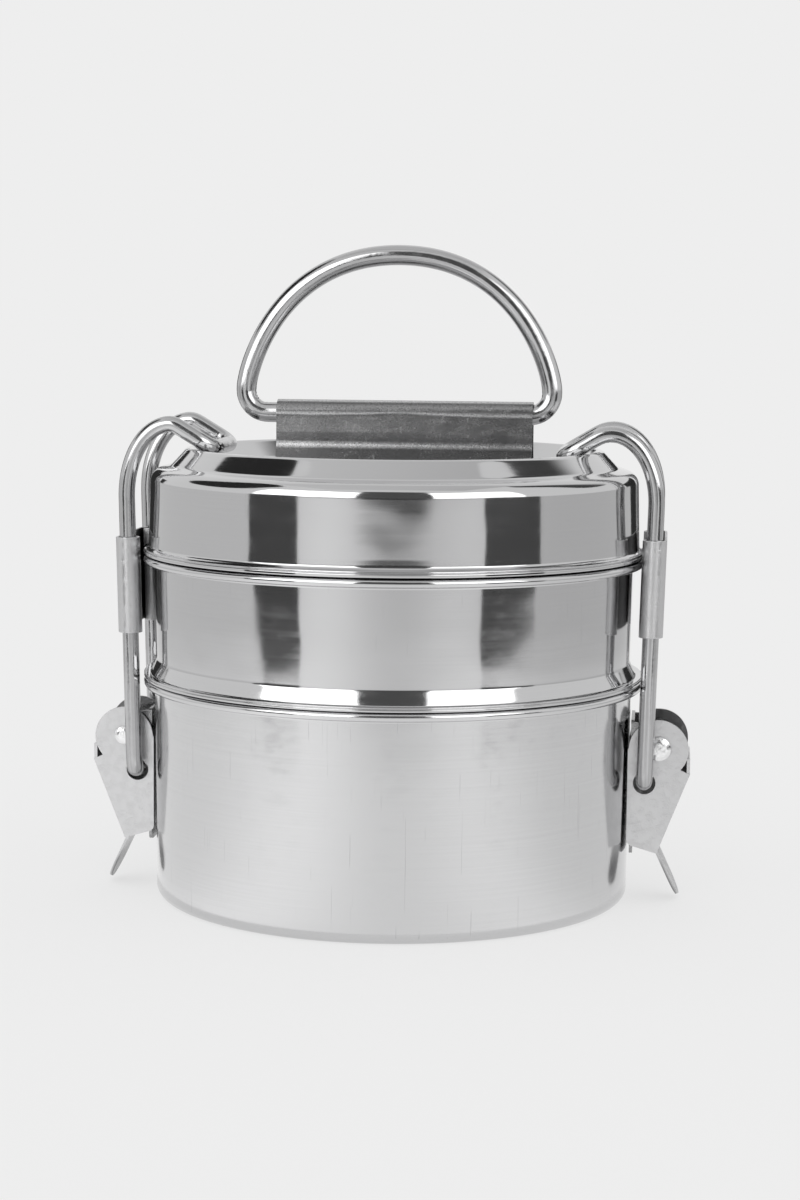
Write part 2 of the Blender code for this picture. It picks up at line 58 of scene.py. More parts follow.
# ---- turned shells ----
RIM_R = 70.0
BEAD_R = 1.2
BEAD_CENTRE_R = RIM_R - BEAD_R
BOTTOM_RIM_Z = 60.1
BOTTOM_TOP_R = 66.9
BOTTOM_FOOT_R = 66.4
BASE_RECESS = 0.8        # the middle of the base is pressed up by this much
UPPER_BASE_Z = 55.0
UPPER_NEST_R = 65.5
SKIRT_Z = BOTTOM_RIM_Z + BEAD_R + GAP
SKIRT_R = 69.9
UPPER_RIM_Z = 94.4
UPPER_FOOT_R = 66.3
UPPER_TOP_R = 66.8
FLANGE_Z = UPPER_RIM_Z + BEAD_R + GAP
LID_TOP_Z = 125.2        # crest of the ridge round the sunk panel
LID_TOP_R = 57.2
PANEL_R = 51.0
PANEL_Z = 119.5
LEDGE_R = 62.3
LEDGE_Z = 120.4
SHOULDER_R = 67.9
SHOULDER_Z = 118.8
LID_WALL_R = 68.4
RING_R = 65.5
RING_FOOT_Z = 90.6

# ---- handle and its saddle ----
HANDLE_WIRE_R = 2.8
HANDLE_AXIS_Z = 134.8
HANDLE_CENTRE_X = 0.8
HANDLE_HALF = 42.8
HANDLE_TOP_Z = 178.6
HANDLE_CORNER_R = 6.0
HANDLE_SHOULDER_Z = 141.3
HANDLE_ENDS_GAP = 2.0
HOLDER_X0 = -33.0
HOLDER_X1 = 38.4
HOLDER_SHEET = 0.6
HOLDER_CRIMP = 0.3
HOLDER_BEND_Z = 126.1    # the web turns outwards here and runs down to the feet
HOLDER_FOOT_Y = 6.0
HOLDER_FOOT_HALF_Y = 12.0

# ---- clips ----
PIVOT_X = 75.0
PIVOT_Z = 44.0
BAIL_X = 71.1
BAIL_Z = 34.7
LEVER_HALF_Y = 11.0
LEVER_SHEET = 1.0
LEVER_TOP_X = 74.9
LEVER_TOP_Z = 43.7
LEVER_TOP_R = 8.2
LEVER_INNER_X = 66.45
WEB_CORNER = (83.6, 37.0)
WEB_HEEL = (74.8, 14.6)
LIP_HEIGHT = 4.2
TAB_LENGTH = 15.4
TAB_HALF_Y = 6.6
TAB_NOSE_R = 6.5
TAB_LEAN = math.atan2(5.7, 12.1)
WIRE_R = 2.25
WIRE_HOLE_R = 3.1
WIRE_HOLE_DROP = 0.4     # the pull on the wire keeps it in the top of its hole
LEG_HALF_Y = 15.0
LEG_TOP_X = 73.0
LEG_TOP_Z = 112.0
ARCH_X = 60.5
ARCH_Z = {"left": 131.8, "right": 130.6}      # the two bails are bent by hand and differ a little
BAR_X = {"left": 48.8, "right": 47.6}
BAR_Z = {"left": 125.2, "right": 124.2}       # hooked in behind the lid's ridge
FALL_ANGLE = math.radians(31.0)
RIVET_R = 1.6
RIVET_HOLE_R = RIVET_R + GAP
FACTORY_HEAD_R = 2.55
PEENED_HEAD_R = 3.4
HEAD_HEIGHT = 1.1
EAR_HALF_Y = 9.6
EAR_SHEET = 1.0
EAR_R = 5.2
PLATE_X0 = 67.2
PLATE_X1 = 68.1
PLATE_Z0 = 14.1
PLATE_Z1 = 51.5
BAIL_PLATE_Z0 = {"left": 73.8, "right": 75.4}
BAIL_PLATE_HEIGHT = 26.6
BAIL_PLATE_SHEET = 0.75


# ---- outlines, in millimetres ----
def arc(ca, cb, radius, start, end, step=7.5):
    """Points on a circle from one angle to another, in degrees."""
    count = max(2, math.ceil(abs(end - start) / step))
    angles = [math.radians(start + (end - start) * i / count) for i in range(count + 1)]
    return [(ca + radius * math.cos(a), cb + radius * math.sin(a)) for a in angles]


def rounded(corners, closed=False, step=7.5, pieces=None):
    """Outline through (a, b) or (a, b, fillet) corners, with an arc at each filleted one.

    The arc has one piece for every step of degrees, or exactly as many pieces as are asked for.
    """
    points = [Vector(c[:2]) for c in corners]
    fillets = [c[2] if len(c) > 2 else 0.0 for c in corners]
    result = []
    count = len(corners)
    for i, (corner, fillet) in enumerate(zip(points, fillets)):
        at_end = not closed and i in (0, count - 1)
        if at_end or fillet <= 0.0:
            result.append(tuple(corner))
            continue
        back = points[i - 1] - corner
        ahead = points[(i + 1) % count] - corner
        opening = back.angle(ahead)
        if opening > math.radians(179.5):
            result.append(tuple(corner))
            continue
        reach = fillet / math.tan(opening / 2.0)
        reach = min(reach, 0.49 * back.length, 0.49 * ahead.length)
        radius = reach * math.tan(opening / 2.0)
        centre = corner + (back.normalized() + ahead.normalized()).normalized() * (
            radius / math.sin(opening / 2.0)
        )
        first = corner + back.normalized() * reach - centre
        last = corner + ahead.normalized() * reach - centre
        turn = first.angle_signed(last)
        parts = pieces or max(2, math.ceil(math.degrees(abs(turn)) / step))
        for k in range(parts + 1):
            spin = Matrix.Rotation(-turn * k / parts, 2)
            result.append(tuple(centre + spin @ first))
    return result


def thick_line(points, thickness):
    """Closed outline of a sheet of even thickness whose middle runs along 2-D points."""
    half = thickness / 2.0
    left, right = [], []
    for i, point in enumerate(points):
        here = Vector(point)
        before = Vector(points[max(i - 1, 0)])
        after = Vector(points[min(i + 1, len(points) - 1)])
        first = (here - before).normalized() if i > 0 else (after - here).normalized()
        second = (after - here).normalized() if i < len(points) - 1 else first
        normal = Vector((-(first.y + second.y), first.x + second.x)).normalized()
        reach = half / max(0.5, normal.dot(Vector((-first.y, first.x))))
        left.append(here + normal * reach)
        right.append(here - normal * reach)
    return [tuple(p) for p in left + right[::-1]]


# ---- meshes ----
def finish_mesh(bm, name, sharp=38.0):
    """Millimetre bmesh to a metre mesh, with its grain attribute and smooth shading."""
    grain = bm.verts.layers.float_vector.get("grain")
    if grain is None:
        grain = bm.verts.layers.float_vector.new("grain")
        for vert in bm.verts:
            vert[grain] = vert.co
    bmesh.ops.scale(bm, verts=bm.verts, vec=(MM, MM, MM))
    bmesh.ops.recalc_face_normals(bm, faces=bm.faces)
    mesh = bpy.data.meshes.new(name)
    bm.to_mesh(mesh)
    bm.free()
    mesh.shade_smooth()
    mesh.set_sharp_from_angle(angle=math.radians(sharp))
    return mesh


def supported(profile, margin=0.4):
    """Profile with a point near each end of its long straight parts, so that they shade straight."""
    result = [profile[0]]
    for a, b in zip(profile, profile[1:]):
        length = math.dist(a, b)
        if length > 4.0 * margin:
            for share in (margin / length, 1.0 - margin / length):
                result.append((a[0] + (b[0] - a[0]) * share, a[1] + (b[1] - a[1]) * share))
        result.append(b)
    return result


def turned(name, profile):
    """Spin a (radius, height) profile that starts and ends on the axis."""
    profile = supported(profile)
    bm = bmesh.new()
    grain = bm.verts.layers.float_vector.new("grain")
    rings = []
    along = 0.0
    before = profile[0]
    for r, z in profile:
        along += math.dist(before, (r, z))
        before = (r, z)
        ring = []
        for k in range(TURN_STEPS if r > 0.0 else 1):
            angle = 2.0 * math.pi * k / TURN_STEPS
            vert = bm.verts.new((r * math.cos(angle), r * math.sin(angle), z))
            vert[grain] = (vert.co.x, vert.co.y, along)
            ring.append(vert)
        rings.append(ring)
    for low, high in zip(rings, rings[1:]):
        for k in range(TURN_STEPS):
            corners = [low[k % len(low)], low[(k + 1) % len(low)]]
            corners += [high[(k + 1) % len(high)], high[k % len(high)]]
            bm.faces.new(list(dict.fromkeys(corners)))
    return finish_mesh(bm, name)


def resampled(path, step):
    """Even points along a path."""
    path = [Vector(p) for p in path]
    lengths = [0.0]
    for a, b in zip(path, path[1:]):
        lengths.append(lengths[-1] + (b - a).length)
    count = max(2, round(lengths[-1] / step))
    result, k = [], 0
    for i in range(count + 1):
        target = lengths[-1] * i / count
        while k < len(path) - 2 and lengths[k + 1] < target:
            k += 1
        share = (target - lengths[k]) / max(1e-9, lengths[k + 1] - lengths[k])
        result.append(path[k].lerp(path[k + 1], share))
    return result


def smoothed(path, rounds):
    """Path with its points averaged with their neighbours."""
    for _ in range(rounds):
        middle = [(a + b * 2.0 + c) / 4.0 for a, b, c in zip(path, path[1:], path[2:])]
        path = [path[0]] + middle + [path[-1]]
    return path


def tube(name, path, radius, sides=28, step=0.7, ripple=0.0):
    """Round wire swept along a path. ripple is the depth of the creases inside its tight bends."""
    path = smoothed(resampled(path, step), 3)
    tangents = [
        (path[min(i + 1, len(path) - 1)] - path[max(i - 1, 0)]).normalized()
        for i in range(len(path))
    ]
    bm = bmesh.new()
    grain = bm.verts.layers.float_vector.new("grain")
    side = tangents[0].orthogonal().normalized()
    rings = []
    along = 0.0
    for i, (point, tangent) in enumerate(zip(path, tangents)):
        if i:
            along += (point - path[i - 1]).length
            side = (side - tangent * side.dot(tangent)).normalized()
        other = tangent.cross(side)
        bend = (tangents[min(i + 1, len(path) - 1)] - tangents[max(i - 1, 0)]) / (2.0 * step)
        strength = min(1.0, bend.length * 6.0) ** 2
        inner = bend.normalized() if bend.length > 1e-6 else side
        crease = 0.5 + 0.5 * math.sin(along * 4.1 + 2.0 * noise.noise(Vector((along * 0.7, 0.0, 0.0))))
        ring = []
        for k in range(sides):
            a = 2.0 * math.pi * k / sides
            out = side * math.cos(a) + other * math.sin(a)
            facing = max(0.0, out.dot(inner))
            depth = ripple * strength * facing * facing * crease
            vert = bm.verts.new(point + out * (radius - depth))
            vert[grain] = (radius * math.cos(a), radius * math.sin(a), along)
            ring.append(vert)
        rings.append(ring)
    for low, high in zip(rings, rings[1:]):
        for k in range(sides):
            bm.faces.new((low[k], low[(k + 1) % sides], high[(k + 1) % sides], high[k]))
    for ring, outward in ((rings[0], -tangents[0]), (rings[-1], tangents[-1])):
        cap = bm.faces.new(ring)
        bmesh.ops.inset_region(bm, faces=[cap], thickness=radius * 0.18)
        bmesh.ops.translate(bm, verts=cap.verts, vec=outward * radius * 0.12)
    return finish_mesh(bm, name)


def prism(outline, low, high, axis="Y"):
    """Closed prism: an (x, z) outline run along Y, a (y, z) one along X or an (x, y) one along Z."""

    def place(point, along):
        if axis == "Y":
            return (point[0], along, point[1])
        if axis == "X":
            return (along, point[0], point[1])
        return (point[0], point[1], along)

    bm = bmesh.new()
    near = [bm.verts.new(place(p, low)) for p in outline]
    far = [bm.verts.new(place(p, high)) for p in outline]
    bm.faces.new(near)
    bm.faces.new(far[::-1])
    count = len(outline)
    for i in range(count):
        bm.faces.new((near[i], far[i], far[(i + 1) % count], near[(i + 1) % count]))
    bmesh.ops.recalc_face_normals(bm, faces=bm.faces)
    return bm


def rod(x, z, radius, y0, y1):
    return prism(arc(x, z, radius, 0.0, 352.5), y0, y1)


def combined(name, solids, cutters):
    """Union of the solids less the cutters, by exact Booleans."""
    objects = []
    for bm in solids + cutters:
        mesh = bpy.data.meshes.new(name)
        bm.to_mesh(mesh)
        bm.free()
        obj = bpy.data.objects.new(name, mesh)
        bpy.context.scene.collection.objects.link(obj)
        objects.append(obj)
    for i, other in enumerate(objects[1:], start=1):
        modifier = objects[0].modifiers.new("step", "BOOLEAN")
        modifier.operation = "UNION" if i < len(solids) else "DIFFERENCE"
        modifier.solver = "EXACT"
        modifier.object = other
    graph = bpy.context.evaluated_depsgraph_get()
    shown = objects[0].evaluated_get(graph)
    bm = bmesh.new()
    bm.from_mesh(shown.to_mesh())
    shown.to_mesh_clear()
    for obj in objects:
        bpy.data.objects.remove(obj, do_unlink=True)
    bmesh.ops.remove_doubles(bm, verts=bm.verts, dist=0.002)
    bmesh.ops.dissolve_limit(bm, angle_limit=math.radians(0.5), verts=bm.verts, edges=bm.edges)
    return finish_mesh(bm, name, sharp=30.0)


# ---- turned shells ----
def rolled_rim(z, wall_top_r):
    """Outside of a rolled rim, from the wall under the bead to the inside of the shell."""
    under = [(wall_top_r, z - 1.45), (wall_top_r + 0.25, z - 1.05)]
    bead = arc(BEAD_CENTRE_R, z, BEAD_R, -148.0, 90.0, step=9.0)
    inside = rounded(
        [
            (BEAD_CENTRE_R, z + BEAD_R),
            (wall_top_r - SHEET, z + BEAD_R, 1.1),
            (wall_top_r - SHEET, z - 2.0),
        ]
    )
    return under + bead + inside[1:]


def bottom_container():
    foot = BOTTOM_FOOT_R
    base = [(0.0, BASE_RECESS), (55.0, BASE_RECESS, 2.5), (57.5, 0.0, 1.5), (foot, 0.0, 2.6)]
    base += [(foot + 0.1, 20.0)]
    outer = rounded(base)
    outer += rolled_rim(BOTTOM_RIM_Z, BOTTOM_TOP_R)
    inner = [(foot - SHEET, 20.0), (foot - SHEET, SHEET, 1.9), (57.5, SHEET, 1.5)]
    inner += [(55.0, BASE_RECESS + SHEET, 2.0), (0.0, BASE_RECESS + SHEET)]
    return turned("bottom_container_fine", outer + rounded(inner))


def upper_container():
    nest, skirt, base, foot = UPPER_NEST_R, SKIRT_Z, UPPER_BASE_Z, UPPER_FOOT_R
    under = [(0.0, base + BASE_RECESS), (54.0, base + BASE_RECESS, 2.0), (56.0, base, 1.5)]
    under += [(nest, base, 2.0), (nest, skirt - 0.1, 0.3), (SKIRT_R, skirt - 0.1, 0.45)]
    under += [(SKIRT_R, skirt + 0.55, 0.25), (SKIRT_R - 0.35, skirt + 0.72, 0.1)]
    under += [(SKIRT_R, skirt + 0.9, 0.25), (SKIRT_R - 0.05, skirt + 1.3, 0.35)]
    under += [(foot + 1.6, skirt + 1.1, 0.5), (foot, skirt + 5.0, 1.6)]
    rim = rolled_rim(UPPER_RIM_Z, UPPER_TOP_R)
    outer = rounded(under + [rim[0]])[:-1] + rim
    inner = [(foot - SHEET, skirt + 6.0, 3.0), (nest - SHEET, skirt + 1.5, 3.0)]
    inner += [(nest - SHEET, base + SHEET, 1.4), (56.0, base + SHEET, 1.0)]
    inner += [(54.0, base + BASE_RECESS + SHEET, 1.0), (0.0, base + BASE_RECESS + SHEET)]
    return turned("upper_container_fine", outer + rounded([outer[-1]] + inner)[1:])


def lid():
    top, flange = LID_TOP_Z, FLANGE_Z
    outer = [(0.0, PANEL_Z), (PANEL_R, PANEL_Z, 3.0), (LID_TOP_R - 0.9, top, 1.2)]
    outer += [(LID_TOP_R + 0.7, top, 3.0), (LEDGE_R, LEDGE_Z, 1.8)]
    outer += [(SHOULDER_R, SHOULDER_Z, 3.8), (LID_WALL_R, 100.4), (LID_WALL_R + 0.1, 98.3, 2.6)]
    outer += [(RIM_R - 0.75, 97.75, 0.8), (RIM_R - 0.15, 97.55, 0.3)]
    outer += [(RIM_R - 0.12, 97.25, 0.1), (RIM_R - 0.5, 97.1, 0.1)]
    outer += [(RIM_R, 96.85, 0.3), (RIM_R, flange + 0.05, 0.35), (RING_R, flange, 0.4)]
    outer += [(RING_R, RING_FOOT_Z, 0.25), (RING_R - SHEET, RING_FOOT_Z, 0.25)]
    inner = [(RING_R - SHEET, flange + 0.9, 0.5), (67.6, flange + 1.2, 1.0), (LID_WALL_R - SHEET, 101.0)]
    inner += [(SHOULDER_R - SHEET, SHOULDER_Z - SHEET, 3.1), (LEDGE_R - 0.3, LEDGE_Z - SHEET, 1.0)]
    inner += [(LID_TOP_R + 0.1, top - 0.9, 1.0), (PANEL_R + 0.3, PANEL_Z - SHEET, 2.0)]
    inner += [(0.0, PANEL_Z - SHEET)]
    return turned("lid_fine", rounded(outer + inner, step=6.0))


# ---- handle and its saddle ----
def handle_path():
    half, corner, axis = HANDLE_HALF, HANDLE_CORNER_R, HANDLE_AXIS_Z
    side = arc(half - corner, axis + corner, corner, -90.0, 0.0, step=6.0)[:-1]
    start = Vector((half, HANDLE_SHOULDER_Z))
    pull_up = Vector((half, HANDLE_SHOULDER_Z + 5.5))
    pull_in = Vector((34.0, HANDLE_TOP_Z))
    crown = Vector((0.0, HANDLE_TOP_Z))
    steps = 60
    for i in range(steps):
        t = i / steps
        s = 1.0 - t
        point = s**3 * start + 3 * s * s * t * pull_up + 3 * s * t * t * pull_in + t**3 * crown
        side.append(tuple(point))
    loop = [(HANDLE_ENDS_GAP / 2.0, axis)] + side + [(0.0, HANDLE_TOP_Z)]
    loop += [(-x, z) for x, z in reversed(side)] + [(-HANDLE_ENDS_GAP / 2.0, axis)]
    return [(x + HANDLE_CENTRE_X, 0.0, z) for x, z in loop]


def crimp_height(x):
    """The crimp under the handle wire wanders up and down along the saddle."""
    hump = math.exp(-(((x - 2.0) / 9.0) ** 2))
    droop = 1.0 / (1.0 + math.exp(-(x - 20.0) / 3.0))
    return HANDLE_AXIS_Z - 0.5 + 0.55 * hump - 0.3 * droop


def painted_saddle_light(x, z):
    """How far the saddle is painted lighter: painted highlights most along its crown, crimp and lower bend,
    less on its brow and web.

    Below the bend it is painted darker than elsewhere, darkest towards +X: painted shade.
    """
    # Painted highlights along the crown, crimp and lower bend; on the bend they fade towards +X.
    crown = math.exp(-(((z - HANDLE_AXIS_Z - 3.4) / 0.25) ** 2))
    crimp = math.exp(-(((z - crimp_height(x) - 0.35) / 0.3) ** 2))
    bend = math.exp(-(((z - HOLDER_BEND_Z - 0.1) / 0.5) ** 2))
    bend *= 1.2 - 0.6 * soft_step((x - HOLDER_X0) / 50.0)
    # Painted shade below the bend, darkest towards +X.
    if z < HOLDER_BEND_Z - 0.8:
        return -0.03 - 0.13 * soft_step((x - HOLDER_X0) / 26.0)
    brow = 0.24 * math.exp(-(((z - HANDLE_AXIS_Z - 1.9) / 0.9) ** 2))
    web = 0.14 * soft_step((z - HOLDER_BEND_Z - 1.6) / 2.0) * soft_step((crimp_height(x) - 0.4 - z) / 0.6)
    return max(0.7 * crown, crimp, bend, brow, web)


def holder_section(x):
    """Saddle sheet's outline in y and z at one place along X."""
    middle_r = HANDLE_WIRE_R + GAP + HOLDER_SHEET / 2.0
    crimp_z = crimp_height(x)
    depth = HOLDER_CRIMP * (0.7 + 0.2 * noise.noise(Vector((x * 0.11, 3.0, 0.0))))
    web = middle_r - depth
    bulge = 0.12 * math.sin((x - HOLDER_X0) / (HOLDER_X1 - HOLDER_X0) * math.pi)
    foot_z = PANEL_Z + GAP + HOLDER_SHEET / 2.0
    right = [(HOLDER_FOOT_HALF_Y, foot_z), (HOLDER_FOOT_Y, foot_z, 1.0)]
    bend_y = web + 0.05
    below_bend = 0.2
    right += [
        (
            bend_y + below_bend * (HOLDER_FOOT_Y - bend_y),
            HOLDER_BEND_Z - below_bend * (HOLDER_BEND_Z - foot_z),
        )
    ]
    right += [(bend_y, HOLDER_BEND_Z, 0.7), (web + 0.02, HOLDER_BEND_Z + 1.2)]
    right += [(web + 0.1 + bulge, HOLDER_BEND_Z + 3.5, 3.0), (web, crimp_z - 0.8)]
    right += [(web, crimp_z - 0.15, 0.15), (middle_r - 0.02, crimp_z + 0.3, 0.2)]
    right += [(middle_r, HANDLE_AXIS_Z + 0.6)]
    right = rounded(right, pieces=4)
    crown = arc(0.0, HANDLE_AXIS_Z, middle_r, 11.0, 169.0, step=6.0)
    left = [(-y, z) for y, z in reversed(right)]
    return thick_line(right + crown + left, HOLDER_SHEET)


def handle_bracket():
    bm = bmesh.new()
    tone_and_painted_light = bm.verts.layers.float.new("tone_and_painted_light")
    stations = 73
    rings = []
    for i in range(stations):
        x = HOLDER_X0 + (HOLDER_X1 - HOLDER_X0) * i / (stations - 1)
        ring = [bm.verts.new((x, y, z)) for y, z in holder_section(x)]
        for vert in ring:
            # Painted highlights and painted shade on the saddle, by position, go into this attribute.
            vert[tone_and_painted_light] = painted_saddle_light(x, vert.co.z)
        rings.append(ring)
    count = len(rings[0])
    for low, high in zip(rings, rings[1:]):
        for k in range(count):
            bm.faces.new((low[k], low[(k + 1) % count], high[(k + 1) % count], high[k]))
    bm.faces.new(rings[0])
    bm.faces.new(rings[-1][::-1])
    return finish_mesh(bm, "handle_bracket_fine")


# ---- clips, drawn on the +X side ----
def latch_bracket():
    plate = rounded(
        [
            (-EAR_HALF_Y, PLATE_Z0, 1.5),
            (EAR_HALF_Y, PLATE_Z0, 1.5),
            (EAR_HALF_Y, PLATE_Z1, 1.0),
            (-EAR_HALF_Y, PLATE_Z1, 1.0),
        ],
        closed=True,
    )
    ear = [(PLATE_X0 + 0.1, 37.0), (PLATE_X1 + 0.8, 37.0)]
    ear += arc(PIVOT_X, PIVOT_Z, EAR_R, -65.0, 75.0)
    ear += [(PLATE_X1 + 0.8, PLATE_Z1 - 0.6), (PLATE_X0 + 0.1, PLATE_Z1 - 0.6)]
    solids = [
        prism(plate, PLATE_X0, PLATE_X1, axis="X"),
        prism(ear, -EAR_HALF_Y, -EAR_HALF_Y + EAR_SHEET),
        prism(ear, EAR_HALF_Y - EAR_SHEET, EAR_HALF_Y),
    ]
    hole = rod(PIVOT_X, PIVOT_Z, RIVET_HOLE_R, -EAR_HALF_Y - 2.0, EAR_HALF_Y + 2.0)
    return combined("latch_bracket_fine", solids, [hole])


def thumb_tab():
    """Tongue with a round end, bent outwards from the foot of the web."""
    nose_x = TAB_LENGTH - TAB_NOSE_R
    nose_half_y = TAB_HALF_Y * 0.94
    outline = [(-1.2, -TAB_HALF_Y), (nose_x, -nose_half_y)]
    for i in range(17):
        a = math.radians(-80.0 + 10.0 * i)
        outline.append((nose_x + TAB_NOSE_R * math.cos(a), nose_half_y * math.sin(a)))
    outline += [(nose_x, nose_half_y), (-1.2, TAB_HALF_Y)]
    bm = prism(outline, -0.4, 0.4, axis="Z")
    along = Vector((math.sin(TAB_LEAN), 0.0, -math.cos(TAB_LEAN)))
    across = Vector((0.0, 1.0, 0.0))
    turn = Matrix((along, across, along.cross(across))).transposed().to_4x4()
    origin = Vector((WEB_HEEL[0] - 0.45, 0.0, WEB_HEEL[1] + 0.6))
    bm.transform(Matrix.Translation(origin) @ turn)
    bmesh.ops.recalc_face_normals(bm, faces=bm.faces)
    return bm


def latch_lever():
    """Channel-shaped lever: two cheeks, a sloping web with a lip, and a thumb tab."""
    corner, heel = WEB_CORNER, WEB_HEEL
    cheek = rounded([(LEVER_INNER_X, LEVER_TOP_Z), (LEVER_INNER_X, 17.0, 1.9), heel, corner])[:-1]
    cheek += [corner, (82.5, 37.5)]
    cheek += arc(LEVER_TOP_X, LEVER_TOP_Z, LEVER_TOP_R, -42.0, 178.0, step=6.0)
    inner_y = LEVER_HALF_Y - LEVER_SHEET
    slope = Vector((corner[0] - heel[0], corner[1] - heel[1])).normalized()
    inward = Vector((-slope.y, slope.x)) * LEVER_SHEET
    web = [
        heel,
        corner,
        (corner[0], corner[1] + LIP_HEIGHT),
        (corner[0] - 0.9, corner[1] + LIP_HEIGHT),
        (corner[0] - 0.9, corner[1] + 0.2),
        (corner[0] + inward.x - 0.2, corner[1] + inward.y),
        (heel[0] + inward.x, heel[1] + inward.y + 0.4),
    ]
    solids = [
        prism(web, -inner_y - 0.5, inner_y + 0.5),
        prism(cheek, -LEVER_HALF_Y, -inner_y),
        prism(cheek, inner_y, LEVER_HALF_Y),
        thumb_tab(),
    ]
    far = LEVER_HALF_Y + 2.0
    cutters = [
        rod(PIVOT_X, PIVOT_Z, RIVET_HOLE_R, -far, far),
        rod(BAIL_X, BAIL_Z - WIRE_HOLE_DROP, WIRE_HOLE_R, -far, far),
    ]
    return combined("latch_lever_fine", solids, cutters)


def latch_rivet():
    """Rivet with a domed factory head on +Y and a wider hammered head on -Y."""
    seat = LEVER_HALF_Y + GAP
    peened = rounded(
        [
            (0.0, -seat - HEAD_HEIGHT),
            (PEENED_HEAD_R * 0.62, -seat - HEAD_HEIGHT * 0.9, 3.0),
            (PEENED_HEAD_R - 0.05, -seat - 0.35, 0.5),
            (PEENED_HEAD_R, -seat, 0.15),
            (RIVET_R, -seat),
        ]
    )
    factory = rounded(
        [
            (RIVET_R, seat),
            (FACTORY_HEAD_R, seat, 0.15),
            (FACTORY_HEAD_R, seat + 0.4, 0.3),
            (FACTORY_HEAD_R * 0.62, seat + HEAD_HEIGHT * 0.93, 1.6),
            (0.0, seat + HEAD_HEIGHT),
        ]
    )
    fine = []
    for (r0, y0), (r1, y1) in zip(peened, peened[1:]):
        parts = max(1, round(math.dist((r0, y0), (r1, y1)) / 0.25))
        fine += [(r0 + (r1 - r0) * k / parts, y0 + (y1 - y0) * k / parts) for k in range(parts)]
    steps = 64
    bm = bmesh.new()
    rings = []
    for r, y in fine + [peened[-1]] + factory:
        ring = []
        for k in range(steps if r > 0.0 else 1):
            a = 2.0 * math.pi * k / steps
            x, z = r * math.cos(a), r * math.sin(a)
            if y < -seat - 0.3:
                y_here = y + 0.13 * max(0.0, noise.noise(Vector((x * 1.1, z * 1.1, 4.0))))
            else:
                y_here = y
            ring.append(bm.verts.new((PIVOT_X + x, y_here, PIVOT_Z + z)))
        rings.append(ring)
    for low, high in zip(rings, rings[1:]):
        for k in range(steps):
            corners = [low[k % len(low)], low[(k + 1) % len(low)]]
            corners += [high[(k + 1) % len(high)], high[k % len(high)]]
            bm.faces.new(list(dict.fromkeys(corners)))
    return finish_mesh(bm, "latch_rivet_fine")


def fillet_3d(before, corner, after, radius, step=6.0):
    """Arc that rounds one corner of a 3-D path."""
    corner = Vector(corner)
    back = (Vector(before) - corner).normalized()
    ahead = (Vector(after) - corner).normalized()
    opening = back.angle(ahead)
    start = corner + back * radius / math.tan(opening / 2.0)
    centre = corner + (back + ahead).normalized() * (radius / math.sin(opening / 2.0))
    turn = math.pi - opening
    axis = (start - centre).cross(corner + ahead - centre).normalized()
    count = math.ceil(math.degrees(turn) / step)
    return [centre + Matrix.Rotation(turn * i / count, 3, axis) @ (start - centre) for i in range(count + 1)]


def bail_path(side):
    """Stub in a lever hole, a leg, the arch over the lid and half of the bar, then the mirror of it."""
    stub = LEVER_HALF_Y - LEVER_SHEET - 0.1
    leg = LEG_HALF_Y
    arch_z, bar_x, bar_z = ARCH_Z[side], BAR_X[side], BAR_Z[side]
    turn_in = (ARCH_X - bar_x) * math.sin(FALL_ANGLE) - (arch_z - bar_z) * math.cos(FALL_ANGLE)
    fall_radius = turn_in / (1.0 - math.cos(FALL_ANGLE))
    foot = (BAIL_X, -leg, BAIL_Z)
    path = [Vector((BAIL_X, -stub, BAIL_Z))]
    path += fillet_3d(path[0], foot, (LEG_TOP_X, -leg, LEG_TOP_Z), 3.0)
    for i in range(31):
        a = math.radians(3.0 * i)
        x = ARCH_X + (LEG_TOP_X - ARCH_X) * math.cos(a)
        path.append(Vector((x, -leg, LEG_TOP_Z + (arch_z - LEG_TOP_Z) * math.sin(a))))
    for i in range(1, 9):
        a = FALL_ANGLE * i / 8
        x = ARCH_X - fall_radius * math.sin(a)
        path.append(Vector((x, -leg, arch_z - fall_radius * (1.0 - math.cos(a)))))
    path += fillet_3d(path[-1], (bar_x, -leg, bar_z), (bar_x, 0.0, bar_z), 4.5)
    path.append(Vector((bar_x, 0.0, bar_z)))
    return path + [Vector((p.x, -p.y, p.z)) for p in reversed(path[:-1])]


def bail_plate(side):
    """Sheet across the two legs on their outer side, curled round each of them."""
    radius = WIRE_R + GAP + BAIL_PLATE_SHEET / 2.0
    curl = []
    for i in range(50):
        a = math.radians(295.0 - 6.0 * i)
        curl.append((radius * math.cos(a), -LEG_HALF_Y - radius * math.sin(a)))
    curl.append((radius, -LEG_HALF_Y))
    middle = curl + [(x, -y) for x, y in reversed(curl)]
    low = BAIL_PLATE_Z0[side]
    outline = thick_line(middle, BAIL_PLATE_SHEET)
    bm = prism(outline, low, low + BAIL_PLATE_HEIGHT, axis="Z")
    # The inner side of the sheet, towards the container wall, is marked for painted shade.
    painted_shade = bm.verts.layers.float.new("painted_shade")
    for i, vert in enumerate(bm.verts):
        place = i % len(outline)
        vert[painted_shade] = 1.0 if place < len(middle) else 0.0
    lean = (LEG_TOP_X - BAIL_X) / (LEG_TOP_Z - BAIL_Z)
    for vert in bm.verts:
        vert.co.x += BAIL_X + (vert.co.z - BAIL_Z) * lean
    return finish_mesh(bm, "bail_plate_fine", sharp=30.0)


